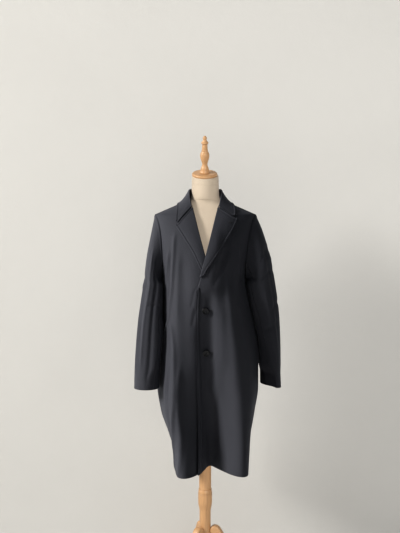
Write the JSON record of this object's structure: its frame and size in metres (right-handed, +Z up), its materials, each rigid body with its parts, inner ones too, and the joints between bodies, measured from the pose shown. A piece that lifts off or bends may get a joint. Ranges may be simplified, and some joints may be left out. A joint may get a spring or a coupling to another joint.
{
  "type": "chesterfield coat on a dress form",
  "caption": "Long single-breasted coat with notched lapels and a cocoon skirt, worn on a limbless dress form with a turned wooden tripod stand.",
  "frame": {"origin": "on the floor below the middle of the part's box", "axes": "+Z up along the stand, -Y towards the front of the coat, +X towards the wearer's left"},
  "size_m": [0.523, 0.4852, 1.6192],
  "materials": {
    "coat_cloth": "matt cotton twill, near-black navy",
    "button": "satin",
    "jersey": "matt jersey",
    "wood": "satin, pale"
  },
  "bodies": {
    "root": {"front_left": "coat_cloth", "front_right": "coat_cloth", "back_left": "coat_cloth", "back_right": "coat_cloth", "lapel_left": "coat_cloth", "lapel_right": "coat_cloth", "collar": "coat_cloth", "sleeve_left_top": "coat_cloth", "sleeve_left_under": "coat_cloth", "sleeve_right_top": "coat_cloth", "sleeve_right_under": "coat_cloth", "button_top": "button", "button_low": "button", "form_torso": "jersey", "neck_cap": "wood", "finial": "wood", "pole": "wood", "post": "wood", "leg_right": "wood", "leg_left": "wood", "leg_back": "wood"}
  },
  "joints": []
}
